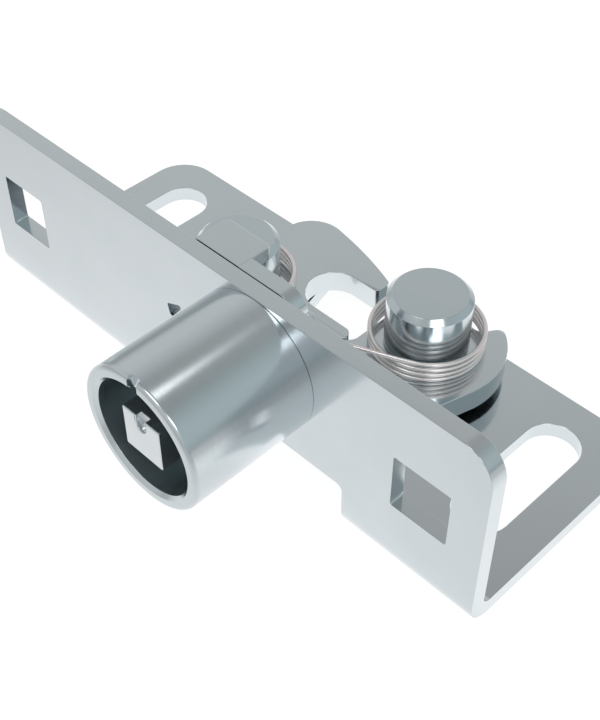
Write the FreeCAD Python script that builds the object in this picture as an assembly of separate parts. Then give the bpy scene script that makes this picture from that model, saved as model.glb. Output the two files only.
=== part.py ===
"""Rotary latch with a square key drive, modelled in millimetres.

A bent steel bracket carries two upright pins. A claw turns on one and a pawl on the other,
each on a washer and under a coiled spring. A barrel stands on the front of the bracket and
holds a square spindle. Behind the bracket the spindle carries a release plate, whose finger
pushes the pawl's tail aside, so that the pawl lets go of the claw and the claw swings open.

X runs along the bracket, Y from front to back, Z up from the base's underside. Everything
is drawn from the middle of the bracket's length on its front face, and is moved back by
half the depth at the end, which puts the origin under the middle of the whole object.
"""
import FreeCAD, Part
import math
import os

Vector = FreeCAD.Vector

# Bracket: one bent sheet, a base and an upright flange
LENGTH = 115.0
DEPTH = 46.0
HEIGHT = 37.3
SHEET = 3.0
BEND = 1.7
FLANGE_CORNER = 5.5
BASE_CORNER = 7.0
HOLE_SIDE = 10.5
HOLE_REACH = 46.15
HOLE_HEIGHT = 20.0
SLOT_WIDTH = 9.8
SLOT_REACH = 45.9
SLOT_FRONT = 12.0
SLOT_BACK = 40.0

# Bracket: opening through the bend below the barrel, where the pawl's tail works
WINDOW_LEFT = -5.3
WINDOW_RIGHT = 31.4
WINDOW_TOP = 10.3
WINDOW_BACK = 12.0
WINDOW_CORNER = 1.2

# Bracket: notch that the striker enters, and the small pierced corner beside the barrel
NOTCH_LEFT = -7.0
NOTCH_RIGHT = 6.6
NOTCH_FRONT = 25.0
NOTCH_CORNER = 3.0
PIERCED = ((-7.75, 22.96), (-3.4, 25.0), (-7.06, 20.33))
PIERCED_CORNER = 0.4

# Barrel and key spindle, on one axis along Y
AXIS_X = 13.1
AXIS_Z = 24.9
BARREL_RADIUS = 12.2
BARREL_BORE = 9.8
BARREL_LENGTH = 23.0
BARREL_EDGE = 1.2
BARREL_LEAD_IN = 0.6
BARREL_WEB = 6.0
SPIGOT_RADIUS = 8.0
INDEX_WIDTH = 2.0
INDEX_DEPTH = 1.9
SQUARE = 8.0
SQUARE_CORNER = 0.35
SQUARE_RECESS = 0.6
SQUARE_NOTCH = 2.4
COLLAR_RADIUS = 9.45
COLLAR_LENGTH = 2.0
JOURNAL_RADIUS = 6.0
THREAD_RADIUS = 2.5
THREAD_DEPTH = 10.0

# Release plate behind the flange
PLATE = 2.5
PLATE_GAP = 0.5
HUB_RADIUS = 9.5
WING_LEFT = -3.25
WING_RIGHT = 18.3
WING_DEPTH = 4.2
WING_CORNER = 3.5
TAB_RIGHT = 6.4
TAB_BACK = 10.0
TAB_BEND = 1.0
FINGER_LEFT = 7.0
FINGER_RIGHT = 11.3
FINGER_TIP = 4.6

# Washer and hexagon screw that hold the release plate
CLAMP_RADIUS = 7.0
CLAMP_THICKNESS = 1.0
SCREW_ACROSS = 8.0
SCREW_HEAD = 3.5
SCREW_CROWN = 4.7
SCREW_CROWN_TOP = 3.85
SCREW_CROWN_DEPTH = 0.5
SCREW_END = 1.5

# Upright pins, the same for claw and pawl
CLAW_PIN = (-14.3, 21.55)
PAWL_PIN = (18.9, 34.2)
PIN_HEAD = 7.35
PIN_TOP = 20.2
PIN_CHAMFER = 0.95
PIN_JOURNAL = 5.0
PIN_RIVET = 4.0
WASHER_RADIUS = 7.0

# Claw and pawl: two flat levers at one height
LEVER_LOW = 4.85
LEVER_HIGH = 9.35
THROAT = 10.6
THROAT_MIDDLE = 32.1
THROAT_ROOT = -6.15
CLAW_LEFT = -19.9
CLAW_HEEL = 46.85
CLAW_HEEL_CORNER = 6.5
CLAW_BACK = (-3.0, 43.71)
CLAW_BACK_BEND = 80.0
CLAW_BOSS = 12.0
CLAW_SHOULDER = 3.5
CLAW_TIP = 4.6
CLAW_TIP_BACK = 40.84
CLAW_TIP_CORNER = 1.0
CLAW_TIP_EDGE = 0.85
NOSE_END = 8.65
NOSE_FRONT = 24.9
NOSE_CORNER = 1.6
NOSE_EDGE = 0.4
POCKET_RADIUS = 21.2
POCKET_TURN = 2.3
RIM_RADIUS = 22.6
RIM_START = -20.0
LOCK_ANGLE = -11.3
PAWL_LOBE = 13.8
PAWL_BOSS = 8.85
LOBE_ANGLE = 57.0
TOOTH_TIP = (7.5, 22.3)
TOOTH_SLOPE = 54.6
TAIL_LEFT = 12.0
TAIL_RIGHT = 17.0
TAIL_FRONT = 5.0

# Springs
WIRE = 0.35
COIL_RADIUS = 9.65
COIL_LOW = 9.8
COIL_HIGH = 13.45
COIL_TURNS = 4.9
COIL_ARCS = 4
SPRING_TAIL = 3.5
PAWL_LEG_X = -28.2
CLAW_LEG_X = -7.0

# Clearances: running fits, faces that slide past each other, loose holes
RUNNING = 0.05
SLIDING = 0.1
LOOSE = 0.1

# Places that follow from the values above
BARREL_FRONT = -BARREL_LENGTH
COLLAR_BACK = -BARREL_WEB - SLIDING - 0.5
COLLAR_FRONT = COLLAR_BACK - COLLAR_LENGTH
PLATE_FRONT = SHEET + PLATE_GAP
PLATE_BACK = PLATE_FRONT + PLATE
SCREW_SEAT = PLATE_BACK + CLAMP_THICKNESS
PIN_HEAD_LOW = LEVER_HIGH + SLIDING
ORIGIN_BACK = (DEPTH - BARREL_LENGTH) / 2


def on_base(across, along, level):
    """Place of a point drawn on the base, seen from above."""
    return Vector(across, along, level)


def on_flange(across, up, level):
    """Place of a point drawn on the flange, seen from the front."""
    return Vector(across, level, up)


def on_end(back, up, level):
    """Place of a point drawn on the bracket's end, seen from the right."""
    return Vector(level, back, up)


def round_spindle(radius, station, level):
    """Place of a point on a half section of the spindle: radius and station along Y."""
    return Vector(AXIS_X + radius, station, AXIS_Z + level)


def outline(corners, place, level=0.0):
    """Face inside (a, b, radius) corners, each corner rounded to its radius."""
    points = [place(a, b, level) for a, b, radius in corners]
    rounds = []
    for index, here in enumerate(points):
        radius = corners[index][2]
        back = (points[index - 1] - here).normalize()
        ahead = (points[(index + 1) % len(points)] - here).normalize()
        half = back.getAngle(ahead) / 2
        reach = radius / math.tan(half)
        bulge = radius / math.sin(half) - radius
        middle = here + (back + ahead).normalize() * bulge if radius else here
        rounds.append((here + back * reach, middle, here + ahead * reach))
    edges = []
    for index, (first, middle, last) in enumerate(rounds):
        following = rounds[(index + 1) % len(rounds)][0]
        if corners[index][2]:
            edges.append(Part.Arc(first, middle, last).toShape())
        if last.distanceToPoint(following) > 1e-6:
            edges.append(Part.makeLine(last, following))
    return Part.Face(Part.Wire(edges))


def slab(corners, low, high, place=on_base):
    """Solid over an outline, from one level to another."""
    return outline(corners, place, low).extrude(place(0, 0, high) - place(0, 0, low))


def box_corners(left, right, low, high, radius=0.0):
    """Corners of a rectangle, all rounded alike."""
    return [(left, low, radius), (right, low, radius),
            (right, high, radius), (left, high, radius)]


def disc(centre, radius, low, high):
    """Upright cylinder over a centre on the base."""
    return Part.makeCylinder(radius, high - low, Vector(*centre, low))


def ring(centre, inner, outer, low, high):
    """Upright washer."""
    return disc(centre, outer, low, high).cut(disc(centre, inner, low, high))


def spindle_disc(radius, front, back):
    """Cylinder on the spindle's axis."""
    start = Vector(AXIS_X, front, AXIS_Z)
    return Part.makeCylinder(radius, back - front, start, Vector(0, 1, 0))


def turned_on_spindle(corners):
    """Solid of revolution about the spindle's axis from (radius, station, rounding)."""
    section = outline(corners, round_spindle)
    return section.revolve(Vector(AXIS_X, 0, AXIS_Z), Vector(0, 1, 0), 360)


def turned_upright(centre, corners):
    """Solid of revolution about an upright axis from (radius, height, rounding)."""
    section = outline(corners, on_flange)
    solid = section.revolve(Vector(0, 0, 0), Vector(0, 0, 1), 360)
    solid.translate(Vector(*centre, 0))
    return solid


def polar(centre, radius, degrees):
    """Point at a radius and angle about a centre on the base."""
    angle = math.radians(degrees)
    return centre[0] + radius * math.cos(angle), centre[1] + radius * math.sin(angle)


def soften(solid, corners):
    """Round the upright edges that stand at (x, y, radius) corners."""
    for x, y, radius in corners:
        upright = [edge for edge in solid.Edges
                   if abs(edge.tangentAt(edge.FirstParameter).z) > 0.999]
        nearest = min(upright, key=lambda edge: math.hypot(
            edge.CenterOfMass.x - x, edge.CenterOfMass.y - y))
        solid = solid.makeFillet(radius, [nearest])
    return solid


def bracket():
    """Bent sheet with its slots, square holes, striker notch and lower window."""
    section = [(0, 0, SHEET + BEND), (DEPTH, 0, 0), (DEPTH, SHEET, 0),
               (SHEET, SHEET, BEND), (SHEET, HEIGHT, 0), (0, HEIGHT, 0)]
    body = slab(section, -LENGTH / 2, LENGTH / 2, on_end)

    half = LENGTH / 2
    flange = [(-half, -1, 0), (half, -1, 0),
              (half, HEIGHT, FLANGE_CORNER), (-half, HEIGHT, FLANGE_CORNER)]
    base = [(-half, -1, 0), (half, -1, 0),
            (half, DEPTH, BASE_CORNER), (-half, DEPTH, BASE_CORNER)]
    body = body.common(slab(flange, -1, DEPTH + 1, on_flange))
    body = body.common(slab(base, -1, HEIGHT + 1))

    cuts = [spindle_disc(SPIGOT_RADIUS, -1, SHEET + 1)]
    for side in (-1, 1):
        middle = side * HOLE_REACH
        hole = box_corners(middle - HOLE_SIDE / 2, middle + HOLE_SIDE / 2,
                           HOLE_HEIGHT - HOLE_SIDE / 2, HOLE_HEIGHT + HOLE_SIDE / 2, 0.3)
        cuts.append(slab(hole, -1, SHEET + 1, on_flange))
        middle = side * SLOT_REACH
        slot = box_corners(middle - SLOT_WIDTH / 2, middle + SLOT_WIDTH / 2,
                           SLOT_FRONT, SLOT_BACK, SLOT_WIDTH / 2)
        cuts.append(slab(slot, -1, SHEET + 1))
    for centre in (CLAW_PIN, PAWL_PIN):
        cuts.append(disc(centre, PIN_RIVET, -1, SHEET + 1))

    upper = box_corners(WINDOW_LEFT, WINDOW_RIGHT, -5, WINDOW_TOP, WINDOW_CORNER)
    lower = box_corners(WINDOW_LEFT, WINDOW_RIGHT, -5, WINDOW_BACK, WINDOW_CORNER)
    through_flange = slab(upper, -1, WINDOW_BACK + 2, on_flange)
    cuts.append(through_flange.common(slab(lower, -1, HEIGHT)))

    notch = [(NOTCH_LEFT, DEPTH + 5, 0), (NOTCH_LEFT, NOTCH_FRONT, NOTCH_CORNER),
             (NOTCH_RIGHT, NOTCH_FRONT, NOTCH_CORNER), (NOTCH_RIGHT, DEPTH + 5, 0)]
    cuts.append(slab(notch, -1, SHEET + 1))
    pierced = [(x, z, PIERCED_CORNER) for x, z in PIERCED]
    cuts.append(slab(pierced, -1, SHEET + 1, on_flange))
    body = body.cut(cuts)
    return soften(body, [(NOTCH_LEFT, DEPTH, 1.0), (NOTCH_RIGHT, DEPTH, 1.0)])


def barrel():
    """Tube with a web at its back and a spigot pressed into the flange."""
    bore = JOURNAL_RADIUS + RUNNING
    lead_in = BARREL_LEAD_IN
    body = turned_on_spindle([
        (BARREL_BORE + lead_in, BARREL_FRONT, 0),
        (BARREL_RADIUS, BARREL_FRONT, BARREL_EDGE),
        (BARREL_RADIUS, 0, 0),
        (SPIGOT_RADIUS, 0, 0),
        (SPIGOT_RADIUS, SHEET, 0),
        (bore, SHEET, 0),
        (bore, -BARREL_WEB, 0),
        (BARREL_BORE, -BARREL_WEB, 0),
        (BARREL_BORE, BARREL_FRONT + lead_in, 0)])
    mark = [(AXIS_X - INDEX_WIDTH / 2, BARREL_FRONT - 0.05, 0),
            (AXIS_X + INDEX_WIDTH / 2, BARREL_FRONT - 0.05, 0),
            (AXIS_X, BARREL_FRONT + INDEX_DEPTH, 0.2)]
    top = AXIS_Z + BARREL_RADIUS + 1
    return body.cut(slab(mark, AXIS_Z + BARREL_BORE - 1, top))


def square_corners(side, radius=0.0):
    """Corners of the spindle's square, seen from the front."""
    half = side / 2
    return box_corners(AXIS_X - half, AXIS_X + half, AXIS_Z - half, AXIS_Z + half, radius)


def spindle():
    """Key square, collar, sealed journal and the square that drives the plate."""
    front = BARREL_FRONT + SQUARE_RECESS
    key = slab(square_corners(SQUARE, SQUARE_CORNER), front, COLLAR_FRONT, on_flange)
    rim = [edge for edge in key.Edges if abs(edge.BoundBox.YMax - front) < 1e-6]
    key = key.makeChamfer(0.3, rim)
    top = AXIS_Z + SQUARE / 2
    mark = [(AXIS_X - INDEX_WIDTH / 2, top + 0.5, 0), (AXIS_X + INDEX_WIDTH / 2, top + 0.5, 0),
            (AXIS_X, top - SQUARE_NOTCH, 0.45)]
    key = key.cut(slab(mark, front - 1, front + INDEX_DEPTH, on_flange))

    groove = JOURNAL_RADIUS - 1.2
    round_part = turned_on_spindle([
        (0, COLLAR_FRONT, 0),
        (COLLAR_RADIUS, COLLAR_FRONT, 0.3),
        (COLLAR_RADIUS, COLLAR_BACK, 0),
        (JOURNAL_RADIUS, COLLAR_BACK, 0),
        (JOURNAL_RADIUS, -3.9, 0),
        (groove, -3.9, 0),
        (groove, -2.6, 0),
        (JOURNAL_RADIUS, -2.6, 0),
        (JOURNAL_RADIUS, PLATE_FRONT, 0),
        (0, PLATE_FRONT, 0)])
    seat = slab(square_corners(SQUARE), PLATE_FRONT, PLATE_BACK - SLIDING, on_flange)
    seat = seat.common(spindle_disc(JOURNAL_RADIUS - 0.5, PLATE_FRONT, PLATE_BACK))
    body = key.fuse([round_part, seat]).removeSplitter()
    return body.cut(spindle_disc(THREAD_RADIUS, PLATE_BACK - THREAD_DEPTH, PLATE_BACK + 1))


def spindle_washer():
    """Thrust washer between the collar and the barrel's web."""
    outer = spindle_disc(COLLAR_RADIUS - 0.9, COLLAR_BACK, -BARREL_WEB - SLIDING)
    return outer.cut(spindle_disc(JOURNAL_RADIUS + LOOSE, COLLAR_BACK, 0))


def spindle_seal():
    """Round ring in the journal's groove, just below the bore."""
    section = 0.53
    middle = JOURNAL_RADIUS - RUNNING - section
    centre = Vector(AXIS_X, -3.25, AXIS_Z)
    return Part.makeTorus(middle, section, centre, Vector(0, 1, 0))


def release_plate():
    """Flat lever behind the flange: wing with a bent tab, hub and finger."""
    hub = spindle_disc(HUB_RADIUS, PLATE_FRONT, PLATE_BACK)
    wing = [(WING_LEFT, HEIGHT, 0.8), (WING_LEFT, HEIGHT - WING_DEPTH, 1.5),
            (AXIS_X - HUB_RADIUS + 0.6, AXIS_Z - 3.0, 0), (AXIS_X, AXIS_Z, 0),
            (WING_RIGHT, AXIS_Z + 3.0, 0), (WING_RIGHT, HEIGHT, WING_CORNER)]
    finger = [(FINGER_LEFT, AXIS_Z - 4, 0), (FINGER_LEFT, FINGER_TIP, 1.6),
              (FINGER_RIGHT, FINGER_TIP, 0.8), (FINGER_RIGHT, AXIS_Z - 4, 0)]
    parts = [slab(wing, PLATE_FRONT, PLATE_BACK, on_flange),
             slab(finger, PLATE_FRONT, PLATE_BACK, on_flange)]
    plate = hub.fuse(parts).removeSplitter()

    low = HEIGHT - 2 * PLATE
    tab = [(PLATE_FRONT, HEIGHT, TAB_BEND), (PLATE_FRONT, low, 0),
           (PLATE_BACK, low, 0), (PLATE_BACK, HEIGHT - PLATE, TAB_BEND),
           (TAB_BACK, HEIGHT - PLATE, 0), (TAB_BACK, HEIGHT, 0)]
    folded = slab(tab, WING_LEFT, TAB_RIGHT, on_end)
    side = box_corners(WING_LEFT, TAB_RIGHT, low, HEIGHT)
    plate = plate.cut(slab(side, PLATE_FRONT - 1, PLATE_BACK + 1, on_flange))
    trim = [(WING_LEFT, HEIGHT + 1, 0), (WING_LEFT, HEIGHT - WING_DEPTH, 1.5),
            (AXIS_X - HUB_RADIUS + 0.6, AXIS_Z - 3.0, 0), (TAB_RIGHT, AXIS_Z, 0),
            (TAB_RIGHT, HEIGHT + 1, 0)]
    folded = folded.common(slab(trim, 0, TAB_BACK + 1, on_flange))
    plate = plate.fuse(folded).removeSplitter()
    seat = slab(square_corners(SQUARE + LOOSE), 0, TAB_BACK, on_flange)
    seat = seat.common(spindle_disc(JOURNAL_RADIUS - 0.5 + LOOSE, 0, TAB_BACK))
    return plate.cut(seat)


def plate_washer():
    """Washer that clamps the release plate to the spindle's shoulder."""
    outer = spindle_disc(CLAMP_RADIUS, PLATE_BACK, SCREW_SEAT)
    return outer.cut(spindle_disc(THREAD_RADIUS + LOOSE, PLATE_BACK, SCREW_SEAT))


def plate_screw():
    """Hexagon screw in the end of the spindle."""
    top = SCREW_SEAT + SCREW_HEAD
    corner_radius = SCREW_ACROSS / 2 / math.cos(math.radians(30))
    corners = [(*polar((AXIS_X, AXIS_Z), corner_radius, 60 * step), 0) for step in range(6)]
    head = slab(corners, SCREW_SEAT, top, on_flange)
    crown = turned_on_spindle([
        (0, SCREW_SEAT, 0), (SCREW_CROWN, SCREW_SEAT, 0),
        (SCREW_CROWN, top - SCREW_CROWN_DEPTH, 0), (SCREW_CROWN_TOP, top, 0), (0, top, 0)])
    shank = spindle_disc(THREAD_RADIUS, PLATE_BACK - THREAD_DEPTH + SCREW_END, SCREW_SEAT)
    return head.common(crown).fuse(shank).removeSplitter()


def pin(centre):
    """Headed pin, riveted flush into the base."""
    return turned_upright(centre, [
        (0, 0, 0), (PIN_RIVET, 0, 0), (PIN_RIVET, SHEET, 0), (PIN_JOURNAL, SHEET, 0),
        (PIN_JOURNAL, PIN_HEAD_LOW, 0), (PIN_HEAD, PIN_HEAD_LOW, 0),
        (PIN_HEAD, PIN_TOP - PIN_CHAMFER, 0), (PIN_HEAD - PIN_CHAMFER, PIN_TOP, 0),
        (0, PIN_TOP, 0)])


def lever_washer(centre):
    """Washer that carries a lever above the base."""
    return ring(centre, PIN_JOURNAL + LOOSE, WASHER_RADIUS, SHEET, LEVER_LOW - RUNNING)


def lever_slab(corners):
    """Slab of a lever's own thickness."""
    return slab(corners, LEVER_LOW, LEVER_HIGH)


def lever_disc(centre, radius):
    """Disc of a lever's own thickness."""
    return disc(centre, radius, LEVER_LOW, LEVER_HIGH)


def claw():
    """Hook with a throat for the striker and a locking step on its rim."""
    upper = THROAT_MIDDLE + THROAT / 2
    lower = THROAT_MIDDLE - THROAT / 2
    root = polar(CLAW_PIN, POCKET_RADIUS, POCKET_TURN)
    hook = lever_slab([
        (CLAW_LEFT, CLAW_PIN[1], 0), (CLAW_LEFT, CLAW_HEEL, CLAW_HEEL_CORNER),
        (*CLAW_BACK, CLAW_BACK_BEND), (CLAW_TIP, CLAW_TIP_BACK, CLAW_TIP_CORNER),
        (CLAW_TIP, upper, CLAW_TIP_EDGE), (THROAT_ROOT, upper, THROAT / 2),
        (THROAT_ROOT, lower, THROAT / 2), (NOSE_END, lower, NOSE_CORNER),
        (NOSE_END, NOSE_FRONT, NOSE_EDGE), (*root, 0), (*CLAW_PIN, 0)])

    far = 2 * RIM_RADIUS
    boss_turn = math.degrees(math.acos(CLAW_BOSS / RIM_RADIUS))
    sector = lever_slab([
        (*CLAW_PIN, 0), (*polar(CLAW_PIN, CLAW_BOSS, RIM_START - boss_turn), 0),
        (*polar(CLAW_PIN, RIM_RADIUS, RIM_START), 0), (*polar(CLAW_PIN, far, RIM_START), 0),
        (*polar(CLAW_PIN, far, POCKET_TURN), 0)])
    sector = sector.common(lever_disc(CLAW_PIN, RIM_RADIUS))
    pocket = lever_slab([
        (*polar(CLAW_PIN, POCKET_RADIUS - 1, LOCK_ANGLE + 0.5), 0),
        (*polar(CLAW_PIN, far, LOCK_ANGLE - 0.5), 0), (*polar(CLAW_PIN, far, 12), 0),
        (*polar(CLAW_PIN, POCKET_RADIUS - 1, 12), 0)])
    sector = sector.cut(pocket.cut(lever_disc(CLAW_PIN, POCKET_RADIUS)))

    body = hook.fuse([sector, lever_disc(CLAW_PIN, CLAW_BOSS)]).removeSplitter()
    side = CLAW_PIN[0] - CLAW_LEFT
    shoulder = CLAW_PIN[1] + math.sqrt(CLAW_BOSS ** 2 - side ** 2)
    body = soften(body, [(CLAW_LEFT, shoulder, CLAW_SHOULDER),
                         (*polar(CLAW_PIN, RIM_RADIUS, LOCK_ANGLE), 0.3),
                         (*polar(CLAW_PIN, POCKET_RADIUS, LOCK_ANGLE), 0.5),
                         (*polar(CLAW_PIN, RIM_RADIUS, RIM_START), 2.5)])
    return body.cut(lever_disc(CLAW_PIN, PIN_JOURNAL + RUNNING))


def pawl():
    """Lever with a rounded lobe, a tooth for the claw's pocket and a tail to the front."""
    x, y = PAWL_PIN
    far = 40.0
    tooth_radius = math.hypot(TOOTH_TIP[0] - x, TOOTH_TIP[1] - y)
    slope = math.tan(math.radians(TOOTH_SLOPE))
    left = x - PAWL_BOSS
    flank_top = TOOTH_TIP[1] + (left - TOOTH_TIP[0]) * slope
    flank_foot = (TOOTH_TIP[0] - 2.0, TOOTH_TIP[1] - 2.0 * slope)
    jaw = lever_slab([
        (x, y, 0), (left, y, 0), (left, flank_top, 2.2), (*flank_foot, 0),
        (flank_foot[0], y - tooth_radius - 2, 0), (TAIL_RIGHT, y - tooth_radius - 2, 0)])
    jaw = jaw.common(lever_disc(PAWL_PIN, tooth_radius))

    elbow = (TAIL_RIGHT + 0.3, TAIL_FRONT + 7)
    to_elbow = math.degrees(math.atan2(elbow[1] - y, elbow[0] - x))
    turn = math.degrees(math.acos(PAWL_LOBE / math.hypot(elbow[0] - x, elbow[1] - y)))
    tail = lever_slab([
        (TAIL_LEFT, y - 10, 0), (TAIL_LEFT, TAIL_FRONT, 0.8), (TAIL_RIGHT, TAIL_FRONT, 1.6),
        (*elbow, 2.0), (*polar(PAWL_PIN, PAWL_LOBE, to_elbow + turn), 0), (x, y, 0)])
    lobe = lever_slab([
        (x, y, 0), (*polar(PAWL_PIN, far, to_elbow + turn), 0),
        (x + far, y, 0), (*polar(PAWL_PIN, far, LOBE_ANGLE), 0)])
    lobe = lobe.common(lever_disc(PAWL_PIN, PAWL_LOBE))

    body = jaw.fuse([tail, lobe, lever_disc(PAWL_PIN, PAWL_BOSS)]).removeSplitter()
    below = y - math.sqrt(tooth_radius ** 2 - (TAIL_LEFT - x) ** 2)
    body = soften(body, [(*polar(PAWL_PIN, PAWL_LOBE, LOBE_ANGLE), 1.3),
                         (*polar(PAWL_PIN, PAWL_BOSS, LOBE_ANGLE), 2.0),
                         (*TOOTH_TIP, 0.25), (TAIL_LEFT, below, 2.0)])
    return body.cut(lever_disc(PAWL_PIN, PIN_JOURNAL + RUNNING))


class BentWire:
    """Round wire drawn forward from a point by straight runs and bends."""

    def __init__(self, point, heading):
        """Start at a point, with a heading of unit length."""
        self.point = point
        self.heading = heading
        self.section = Part.Wire(Part.makeCircle(WIRE, point, heading))
        self.faces = []

    def straight(self, length):
        """Run straight on."""
        step = self.heading * length
        self.faces += self.section.extrude(step).Faces
        self.section = self.section.translated(step)
        self.point = self.point + step

    def swing(self, centre, axis, degrees):
        """Follow a circle about an axis."""
        self.faces += self.section.revolve(centre, axis, degrees).Faces
        turn = FreeCAD.Rotation(axis, degrees)
        self.section = self.section.rotated(centre, axis, degrees)
        self.point = centre + turn.multVec(self.point - centre)
        self.heading = turn.multVec(self.heading)

    def bend(self, heading, radius):
        """Turn to a new heading."""
        axis = self.heading.cross(heading).normalize()
        centre = self.point + axis.cross(self.heading) * radius
        self.swing(centre, axis, math.degrees(self.heading.getAngle(heading)))

    def reach(self, point):
        """Follow the one circle that leaves along the heading and meets a point."""
        chord = point - self.point
        axis = self.heading.cross(chord).normalize()
        inward = axis.cross(self.heading)
        radius = chord.Length ** 2 / (2 * chord.dot(inward))
        angle = 2 * math.degrees(math.asin(chord.Length / (2 * radius)))
        self.swing(self.point + inward * radius, axis, angle)

    def end_face(self):
        """Flat face that closes the wire where it now ends."""
        return Part.Face(self.section)


def coiled_spring(centre, leg_x, leg_at_top):
    """Left-hand coil round a pin with one long leg to the flange and one short tail.

    Seen from above, the coil runs clockwise as it climbs. It is drawn away from its long
    leg, which is a straight tangent from the flange's back, at leg_x, to the coil's upper
    or lower end. Each arc of the coil shares its tangent with the next.
    """
    way = 1 if leg_at_top else -1
    offset = Vector(leg_x - centre[0], SHEET + WIRE - centre[1], 0)
    bearing = math.degrees(math.atan2(offset.y, offset.x))
    opening = math.degrees(math.acos(COIL_RADIUS / offset.Length))
    touch = bearing + way * opening

    arcs = round(COIL_TURNS * COIL_ARCS)
    step = way * COIL_TURNS * 360 / arcs
    rise = -way * (COIL_HIGH - COIL_LOW) / arcs
    start_height = COIL_HIGH if leg_at_top else COIL_LOW
    stations = [Vector(*polar(centre, COIL_RADIUS, touch + index * step),
                       start_height + index * rise) for index in range(arcs + 1)]
    half_turn = FreeCAD.Rotation((stations[1] - stations[0]).normalize(), 180)
    heading = FreeCAD.Rotation(Vector(0, 0, 1), -step).multiply(half_turn).Axis
    if heading.dot(stations[1] - stations[0]) < 0:
        heading = heading * -1

    coil = BentWire(stations[0], heading)
    for station in stations[1:]:
        coil.reach(station)
    level = Vector(coil.heading.x, coil.heading.y, 0).normalize()
    coil.bend(level, COIL_RADIUS)
    coil.straight(SPRING_TAIL)

    leg = BentWire(stations[0], heading * -1)
    level = Vector(leg.heading.x, leg.heading.y, 0).normalize()
    leg.bend(level, COIL_RADIUS)
    leg.straight((SHEET + WIRE - leg.point.y) / leg.heading.y)

    skin = Part.makeCompound(coil.faces + leg.faces + [coil.end_face(), leg.end_face()])
    skin.sewShape()
    body = Part.Solid(skin.Shells[0])
    if body.Volume < 0:
        body.reverse()
    return body


def build():
    """All sub-parts by name, each as one solid."""
    return {
        "bracket": bracket(),
        "barrel": barrel(),
        "spindle": spindle(),
        "spindle_washer": spindle_washer(),
        "spindle_seal": spindle_seal(),
        "release_plate": release_plate(),
        "plate_washer": plate_washer(),
        "plate_screw": plate_screw(),
        "claw": claw(),
        "claw_pin": pin(CLAW_PIN),
        "claw_washer": lever_washer(CLAW_PIN),
        "claw_spring": coiled_spring(CLAW_PIN, CLAW_LEG_X, False),
        "pawl": pawl(),
        "pawl_pin": pin(PAWL_PIN),
        "pawl_washer": lever_washer(PAWL_PIN),
        "pawl_spring": coiled_spring(PAWL_PIN, PAWL_LEG_X, True),
    }


os.makedirs("parts", exist_ok=True)
for node, shape in build().items():
    shape.translate(Vector(0, -ORIGIN_BACK, 0))
    solids = shape.Solids
    box = shape.BoundBox
    print(f"{node}: {len(solids)} solid, valid {shape.isValid()}, volume {shape.Volume:.1f},"
          f" x {box.XMin:.2f} {box.XMax:.2f}, y {box.YMin:.2f} {box.YMax:.2f},"
          f" z {box.ZMin:.2f} {box.ZMax:.2f}")
    single = solids[0] if len(solids) == 1 else shape
    single.exportStep(f"parts/{node}.step")
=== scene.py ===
import logging
import math
from dataclasses import dataclass
from enum import Enum

import bmesh
import bpy
import numpy as np
from mathutils import Matrix, Vector


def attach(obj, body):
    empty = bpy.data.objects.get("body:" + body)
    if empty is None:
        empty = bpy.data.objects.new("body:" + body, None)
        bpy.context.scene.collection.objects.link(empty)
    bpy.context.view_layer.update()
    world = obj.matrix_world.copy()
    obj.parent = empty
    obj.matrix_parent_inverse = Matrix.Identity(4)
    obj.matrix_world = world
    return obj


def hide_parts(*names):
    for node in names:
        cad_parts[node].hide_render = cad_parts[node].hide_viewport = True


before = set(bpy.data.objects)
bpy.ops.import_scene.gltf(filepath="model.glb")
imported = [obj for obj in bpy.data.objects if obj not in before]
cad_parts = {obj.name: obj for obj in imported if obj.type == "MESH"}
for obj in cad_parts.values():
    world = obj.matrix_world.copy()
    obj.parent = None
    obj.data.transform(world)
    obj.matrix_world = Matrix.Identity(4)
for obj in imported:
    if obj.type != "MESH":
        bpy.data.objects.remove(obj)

LOG = logging.getLogger("latch")
MM = 0.001
FLANGE_Y = -11.5  # the flange's front face, from the middle of the whole latch, in mm
HAIR = 0.001  # in mm, off the radius of a round end, so that its two arcs stay apart
COLUMNS = 96  # points round a turned piece
NOISE_SPREAD = (0.3, 0.7)  # nearly all the values of a noise lie between these

Array = np.ndarray
Corner = tuple[float, float, float]


class Axis(Enum):
    """Direction that a turned piece is turned about."""

    ALONG_Y = "y"
    UPRIGHT = "z"


class Lay(Enum):
    """How the marks of the last working step run over a surface."""

    EVEN = "even"
    RINGS_Y = "rings round an axis along Y"
    RINGS_Z = "rings round an upright axis"


def srgb(code: str) -> tuple[float, float, float, float]:
    """Turns a colour as a screen shows it into linear light.

    Args:
        code: six hex digits, with or without a hash.

    Returns:
        Red, green, blue and a full alpha.
    """
    digits = code.lstrip("#")
    parts = np.array([int(digits[i:i + 2], 16) / 255 for i in (0, 2, 4)])
    low = parts / 12.92
    high = ((parts + 0.055) / 1.055) ** 2.4
    red, green, blue = np.where(parts <= 0.04045, low, high)
    return float(red), float(green), float(blue), 1.0


def unit(rows: Array) -> Array:
    """Rows scaled to length one, and rows of no length left as they are."""
    length = np.linalg.norm(rows, axis=-1, keepdims=True)
    return rows / np.where(length < 1e-12, 1.0, length)


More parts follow.
